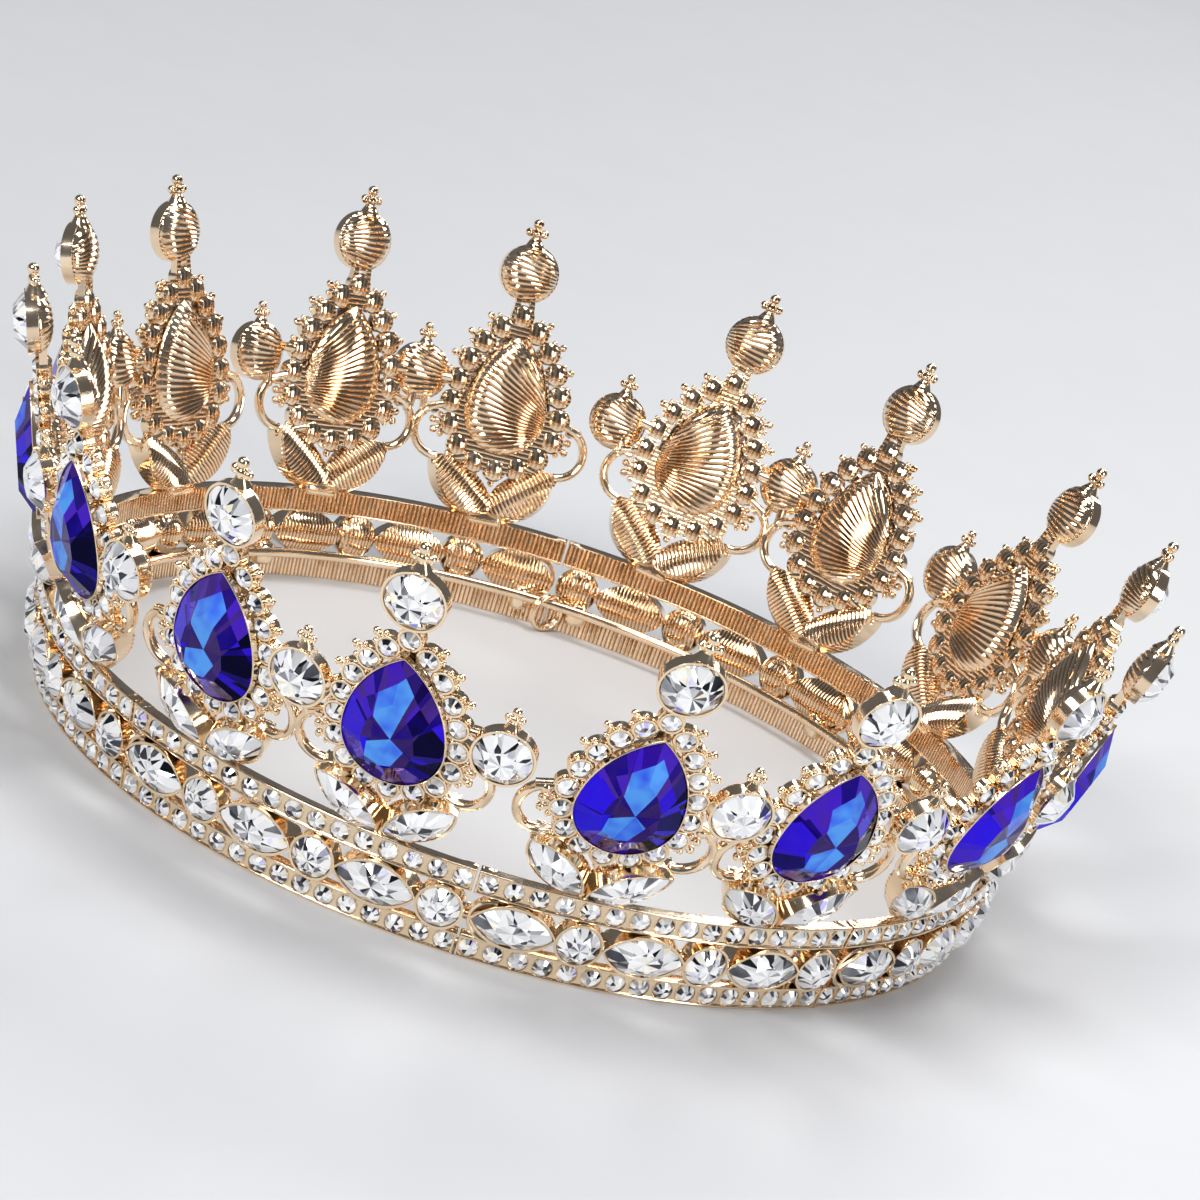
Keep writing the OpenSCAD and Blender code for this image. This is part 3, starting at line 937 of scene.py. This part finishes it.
pear_dome = ribbed_back(
    "pear_dome", pear_touches(CUP_R, CUP_TIP, 14, 8),
    domed(lambda p: pear_share(p, CUP_R, CUP_TIP, SPOON), 2.1),
    fan=Vector((-10, -2, 0)), pitch=0.62, relief=0.14, rows=12)
round_dome = ribbed_back(
    "round_dome", round_touches(3.95, 24), domed(round_share(3.9), 1.65),
    fan=Vector((-10, -1, 0)), pitch=0.68, relief=0.12)
band_dome = ribbed_back(
    "band_dome", round_touches(3.0, 16), domed(round_share(3.05), 1.9),
    FAR_BELOW, pitch=0.52, relief=0.09, rows=6)
band_hull = ribbed_back(
    "band_hull", marquise_touches(10.6, 5.9, 6), hulled(10.8, 6.1, 3.1, 0.6),
    FAR_BELOW, pitch=0.52, relief=0.1, rows=6)
leaf_hull = ribbed_back(
    "leaf_hull", marquise_touches(11.0, 5.8, 6), hulled(11.2, 6.0, 2.9, 0.5),
    FAR_BELOW, pitch=0.56, relief=0.1, rows=6)
small_dome = ribbed_back(
    "small_dome", round_touches(1.45, 8), domed(round_share(1.5), 0.72),
    FAR_BELOW, pitch=0.62, relief=0.08, rows=3, steps=2)

# %% Set the domed backs


def side_of(k):
    """Every other point has its ribs fan out from the other side."""
    return Matrix.Identity(4) if k % 2 else MIRROR_X


trim_of("pear_domes", [(pear_dome, on_point(k) @ shift(0, PEAR_V, -1.35) @ side_of(k))
                       for k in POINT_NUMBERS])
trim_of("top_domes", [(round_dome, on_point(k) @ shift(0, TOP_V, -0.75) @ side_of(k))
                      for k in POINT_NUMBERS])
trim_of("between_domes", [(round_dome, place @ Matrix.Scale(0.97, 4)) for place in between_places(0.15)])
trim_of("halo_domes", [(small_dome, on_point(k) @ shift(p.x, p.y, -1.35))
                       for k in POINT_NUMBERS for p in halo_places()])
trim_of("band_domes", [(band_dome, place @ shift(0, 0, -1.7)) for place in band_places(1)])
trim_of("band_hulls", [(band_hull, place @ shift(0, 0, 0.15)) for place in band_places(0)])
trim_of("leaf_hulls", [(leaf_hull, place @ shift(0, 0, 0.6)) for place in leaf_places(0)])
print("raised", POINTS, "pear domes and", len(band_places(0) + leaf_places(0)), "hulls")

# %% [markdown]
# A scroll is a wire, not a bar: it was bent in wax before it was cast. Each one is an oval section spun
# round the middle of its curl, and the short links that join the settings are the same section drawn
# straight. They are laid over the flat bars of the CAD model, which they hide.

# %% Draw the scrolls and links
WIRE_MID = -0.975
WIRE_DEEP = 0.76
CURL_R = 3.525
CURL_X = 8.6
CURL_DROP = 4.05


def oval(width, place):
    """A ring of vertices and edges, width wide and a little deeper, in the x-z plane at a place."""
    bm = bmesh.new()
    upright = turn("X", 90) @ Matrix.Diagonal((width, 2 * WIRE_DEEP, 1, 1))
    made = bmesh.ops.create_circle(bm, cap_ends=False, segments=10, radius=0.5, matrix=place @ upright)
    return bm, made["verts"]


def curl():
    """The round part of a right-hand scroll."""
    bm, verts = oval(1.2, turn("Z", -95) @ shift(CURL_R, 0, WIRE_MID))
    spin_round(bm, verts + bm.edges[:], (0, 0, 0), 168.5, 18)
    close_holes(bm)
    return keep_pattern("curl_wire", bm)


def link(ax, ay, bx, by, width):
    """A straight wire between two places of the drawing."""
    run = Vector((bx - ax, by - ay, 0))
    facing = turn("Z", math.degrees(math.atan2(run.y, run.x)) - 90)
    bm, verts = oval(width, shift(ax, ay) @ facing @ shift(0, 0, WIRE_MID))
    draw_out(bm, bm.edges[:], run)
    close_holes(bm)
    return keep_pattern("link", bm)


curl_wire = curl()
root_link = link(4.4, 7.9, CURL_X, 6.55, 1.3)
eye_link = link(8.0, PEAR_V - 0.1, 11.1, PEAR_V - 1.1, 1.15)
round_link = link(7.6, BETWEEN_V + 0.1, 9.9, BETWEEN_V + 0.15, 1.3)
outer_link = link(11.2, PEAR_V - 2.2, 11.8, PEAR_V + 1.3, 1.15)

# %% Set the scrolls
scroll_stamps = []
for k in POINT_NUMBERS:
    for side in (Matrix.Identity(4), MIRROR_X):
        place = on_point(k) @ side
        curl_place = place @ shift(CURL_X, PEAR_V - CURL_DROP)
        scroll_stamps += [(curl_wire, curl_place), (root_link, place), (eye_link, place)]
        if k % 2 == 0 or side != MIRROR_X:
            scroll_stamps += [(round_link, place), (outer_link, place)]
trim_of("scroll_wires", scroll_stamps)
print("drew", len(scroll_stamps), "wires")

# %% [markdown]
# The rails carry a fine rim along both long edges, which catches the light as a bright line. A rim is a
# rounded section spun about the crown's own axis, for the length of one panel. The backs of the rails are
# filed across in close upright ridges, no two of them the same: the same spin, in many short steps, whose
# points are then drawn in or left. A small plate with a raised edge squares off each end of a rail, so
# that two panels meet at a fine straight seam. Where the two leaves of a point stand on the rail, a pad
# of metal joins them, a cube with its edges well rounded.

# %% Roll the rims and round the pads
SEAM = 0.3
STONE_STEP = 360 / PANELS / RAIL_SEATS
RIM_SPAN = 360 / PANELS - math.degrees(SEAM / RING_R)
END_R = RING_R * math.radians(STONE_STEP / 2) - SEAM / 2


def along_panel(corners, steps):
    """A section of radii and heights, spun over the length of a panel that faces -Y."""
    bm = bmesh.new()
    section = section_of(bm, [(r, 0, z) for r, z in corners])
    start = turn("Z", -90 - RIM_SPAN / 2).to_3x3()
    bmesh.ops.rotate(bm, verts=bm.verts[:], cent=(0, 0, 0), matrix=start)
    spin_round(bm, section, (0, 0, 0), RIM_SPAN, steps)
    close_holes(bm)
    return bm


def rim(z, r, out):
    """The rim at height z that stands out from radius r."""
    height = 0.34
    root = r - math.copysign(0.2, out)
    return keep_pattern("rim", along_panel([
        (root, z - height / 2), (r + out * 0.7, z - height / 2), (r + out, z - height * 0.2),
        (r + out, z + height * 0.2), (r + out * 0.7, z + height / 2), (root, z + height / 2)], 22))


def filed_back(z):
    """The back of the rail that starts at height z: flat ridges and flat grooves by turns."""
    ribs, relief = 80, 0.15
    low, high = z + 0.05, z + RAIL_H - 0.05
    bm = along_panel([(back_radius(low) + 0.4, low), (back_radius(low), low),
                      (back_radius(high), high), (back_radius(high) + 0.4, high)], 4 * ribs)
    heights = [relief * rng.uniform(0.6, 1.0) for _ in range(4 * ribs + 1)]
    # This attribute marks the grooves between the ridges, for the finish's painted shade.
    groove_shade = bm.verts.layers.float.new("groove_shade")
    for v in bm.verts:
        r = v.co.to_2d().length
        if r < back_radius(v.co.z) + 0.1:
            turned = math.degrees(math.atan2(v.co.y, v.co.x)) + 90 + RIM_SPAN / 2
            column = round(turned / RIM_SPAN * 4 * ribs)
            v[groove_shade] = float(column % 4 > 1)
            inner = (r - (0.02 if column % 4 > 1 else heights[column])) / r
            v.co.x, v.co.y = v.co.x * inner, v.co.y * inner
    return keep_pattern("filed_back", bm)


def rounded_box(bm, place, size, offset, segments):
    """A box with rounded edges, its middle at a place."""
    box = bmesh.ops.create_cube(bm, size=1, matrix=shift(*place) @ Matrix.Diagonal((*size, 1)))
    edges = {e for v in box["verts"] for e in v.link_edges}
    bmesh.ops.bevel(bm, geom=list(edges), offset=offset, segments=segments, profile=0.5,
                    affect="EDGES", material=-1)


def pad():
    """The rounded pad between the two leaves of a point."""
    bm = bmesh.new()
    rounded_box(bm, (0, -0.05, -0.55), (5.0, 2.1, 1.7), 0.68, 4)
    return keep_pattern("leaf_pad", bm)


def end_plate():
    """Squares off the right-hand end of a rail, from the middle of its last stone to the seam."""
    bm = bmesh.new()
    for left, right, front in ((-0.1, END_R, -0.03), (END_R - 0.3, END_R, 0.2)):
        middle = ((left + right) / 2, 0, (front - 1.5) / 2)
        rounded_box(bm, middle, (right - left, RAIL_H - 0.04, front + 1.5), 0.1, 2)
    return keep_pattern("rail_end", bm)


RIM_HEIGHTS = (0.19, RAIL_H - 0.17, BAND_H - RAIL_H + 0.17, BAND_H - 0.17)
BACK_HEIGHTS = (RAIL_H - 0.12, BAND_H - RAIL_H + 0.12)
rims = [rim(z, band_radius(z), out=0.24) for z in RIM_HEIGHTS]
rims += [rim(z, back_radius(z), out=-0.14) for z in BACK_HEIGHTS]
filed = [filed_back(z) for z in (0, BAND_H - RAIL_H)]
leaf_pad = pad()
rail_end = end_plate()

# %% Set the rims, backs, pads and ends
trim_of("rail_rims", [(line, on_panel(i)) for i in PANEL_NUMBERS for line in rims])
trim_of("filed_backs", [(back, on_panel(i)) for i in PANEL_NUMBERS for back in filed])
trim_of("leaf_pads", [(leaf_pad, on_point(k)) for k in POINT_NUMBERS])
last_stone = (RAIL_SEATS - 1) / 2 * STONE_STEP
end_places = [on_panel(i) @ on_band(angle, z) @ side
              for i in PANEL_NUMBERS for z in RAIL_MIDS
              for angle, side in ((last_stone, Matrix.Identity(4)), (-last_stone, MIRROR_X))]
trim_of("rail_ends", [(rail_end, place) for place in end_places], finish=gold)
print("rolled", PANELS * len(rims), "rims and filed", PANELS * len(filed), "backs")
print("rounded", POINTS, "pads and squared", len(end_places), "rail ends")

# %% [markdown]
# Small things finish a casting: beads on the halo's rim, a bead in the eye of each scroll, the curved
# bracket that closes a panel at its left end, and the drops of solder that hold the panels to the wire.
# Each is one pattern, stamped where the drawing of its setting says.

# %% Beads
# Each bead stands by a halo stone: the stone's number, the way out to the bead, how far, and its size.
HALO_BEADS = [(8, 72, 1.72, 0.72), (8, 4, 1.72, 0.72), (7, 64, 1.72, 0.72), (7, -6, 1.72, 0.72),
              (6, 50, 1.72, 0.72), (5, 52, 1.75, 0.8), (3, -58, 1.9, 0.9), (3, 38, 1.8, 0.8),
              (2, -50, 1.75, 0.8)]
BEAD_BACK = -0.45
EYE_BEAD = (9.8, PEAR_V - 1.05, -0.75, 1.6)


def bead_places():
    """Places and sizes of the beads of a point."""
    places = []
    for i, degrees, reach, size in HALO_BEADS:
        stone = along_pear(HALO_R, HALO_TIP, i / HALO_STEPS) + Vector((0, PEAR_V - HALO_DROP, BEAD_BACK))
        p = stone + direction(degrees) * reach
        places += [(p.x, p.y, p.z, size), (-p.x, p.y, p.z, size)]
    x, y, z, size = EYE_BEAD
    return places + [(-x, y, z, size), (x, y, z, size)]


ball = bmesh.new()
bmesh.ops.create_uvsphere(ball, u_segments=12, v_segments=6, radius=0.5)
bead = keep_pattern("bead", ball)
bead_stamps = [(bead, on_point(k) @ shift(x, y, z) @ Matrix.Scale(size, 4))
               for k in POINT_NUMBERS for x, y, z, size in bead_places()]
trim_of("halo_beads", bead_stamps)
print("added", len(bead_stamps), "beads")

# %% Brackets and solder
BRACKET_AT = (-19.55, 6.0)
SOLDER_R = 60.5
SOLDER_Z = 3.4
SOLDER_FROM_SEAM = 3.9
SOLDER_SIZE = (1.3, 1.3, 1.6)


def bracket():
    """Half a ring of strip, open to the right."""
    bm = bmesh.new()
    section = section_of(bm, [(0, 2.42, -0.9), (0, 3.0, -0.9), (0, 3.0, 0.35),
                              (0, 2.71, 0.5), (0, 2.42, 0.35)])
    spin_round(bm, section, (0, 0, 0), 180, 20)
    close_holes(bm)
    return keep_pattern("curved_wall", bm)


curved_wall = bracket()
trim_of("end_brackets", [(curved_wall, on_panel(i) @ on_band(*BRACKET_AT)) for i in PANEL_NUMBERS])


def solder_drop(i):
    """A lump with rounded corners, since solder fills the corner that it runs into."""
    bm = bmesh.new()
    bmesh.ops.create_icosphere(bm, subdivisions=3, radius=1.0)
    for v in bm.verts:
        v.co /= sum(c ** 4 for c in v.co) ** 0.25
        x, y, z = v.co
        swell = 0.09 * math.sin(3.1 * x + i) * math.cos(2.7 * y - 2 * i)
        v.co *= 1.04 + swell + 0.03 * math.sin(7 * z + i)
    return keep_pattern("solder_drop", bm)


drops = [solder_drop(i) for i in range(3)]
solder_stamps = []
for i in PANEL_NUMBERS:
    for side in (-1, 1):
        angle = panel_angle(i) + side * (180 / PANELS - SOLDER_FROM_SEAM)
        place = turn("Z", angle) @ shift(0, -SOLDER_R, SOLDER_Z) @ Matrix.Diagonal((*SOLDER_SIZE, 1))
        solder_stamps.append((drops[(i + side) % len(drops)], place))
trim_of("solder_drops", solder_stamps)
print("added", PANELS, "brackets and", len(solder_stamps), "drops of solder")

# %% [markdown]
# The floor is a plain pale sheet, far larger than the crown, so that no edge of it shows. It is not
# part of the jewel.

# %% Lay the floor
floor_shape = bmesh.new()
bmesh.ops.create_grid(floor_shape, x_segments=1, y_segments=1, size=4.0)
floor_mesh = bpy.data.meshes.new("floor")
floor_shape.to_mesh(floor_mesh)
floor_shape.free()
floor = bpy.data.objects.new("floor", floor_mesh)
bpy.context.scene.collection.objects.link(floor)
FLOOR_STOPS = [(0.3, (0.595, 0.60, 0.61)), (0.7, (0.605, 0.61, 0.62))]
pale = Finish("pale floor", Roughness=0.55)
where = pale.node("ShaderNodeTexCoord", output="Object")
grain = pale.node("ShaderNodeTexNoise", {"Scale": 60.0, "Vector": where})
pale.shine("Base Color", pale.node("ShaderNodeValToRGB", {"Fac": grain}, stops=FLOOR_STOPS))
floor_mesh.materials.append(pale.material)

# %% [markdown]
# Polished metal shows nothing of its own, only the room. A jewellery photographer surrounds it with large
# soft boxes and leaves dark gaps between them, and it is the gaps that give the metal its shape. The
# lamps here are large area lights, one high key from the left, a fill, one overhead and one from behind.

# %% Light the crown
CROWN_MIDDLE = Vector((0, 0, 0.025))


def soft_box(name, place, size, power):
    lamp = bpy.data.lights.new(name, "AREA")
    lamp.shape = "RECTANGLE"
    lamp.size, lamp.size_y = size
    lamp.energy = power
    holder = bpy.data.objects.new(name, lamp)
    holder.location = place
    holder.rotation_euler = (CROWN_MIDDLE - Vector(place)).to_track_quat("-Z", "Y").to_euler()
    bpy.context.scene.collection.objects.link(holder)


soft_box("key", (-0.45, -0.55, 0.65), (0.35, 0.35), 5.9)
soft_box("fill", (0.6, -0.5, 0.35), (0.2, 0.5), 2.6)
soft_box("overhead", (0.05, 0.1, 0.8), (0.5, 0.25), 3.6)
soft_box("behind", (0.3, 0.7, 0.45), (0.5, 0.2), 2.6)
world = bpy.data.worlds.new("studio")
world.use_nodes = True
sky = world.node_tree.nodes["Background"]
sky.inputs["Color"].default_value = (0.75, 0.8, 0.9, 1)
sky.inputs["Strength"].default_value = 0.16
bpy.context.scene.world = world
bpy.context.scene.view_settings.view_transform = "Standard"
print("lit the crown with 4 soft boxes")

# %% [markdown]
# The photograph was taken with a long lens, with the camera turned so that the band falls to the right.
# It looks from a little under the crown, and here the crown stands on a floor, so the camera keeps the
# angle and looks from above by as much.

# %% Place the camera
LENS = 164.6
DISTANCE = 0.702
ELEVATION = 18.7
AZIMUTH = -1.35
ROLL = 18.0
AIM = Vector((0.0052, 0.0007, 0.0266))

camera_data = bpy.data.cameras.new("camera")
camera_data.sensor_width = 36
camera_data.lens = LENS
camera_data.clip_start = 0.01
camera = bpy.data.objects.new("camera", camera_data)
bpy.context.scene.collection.objects.link(camera)
azimuth, elevation = math.radians(AZIMUTH), math.radians(ELEVATION)
back = Vector((math.sin(azimuth) * math.cos(elevation), -math.cos(azimuth) * math.cos(elevation),
               math.sin(elevation)))
camera.location = AIM + back * DISTANCE
camera.rotation_mode = "QUATERNION"
camera.rotation_quaternion = (-back).to_track_quat("-Z", "Y") @ turn("Z", ROLL).to_quaternion()
bpy.context.scene.camera = camera
print("camera at", tuple(round(c, 3) for c in camera.location))
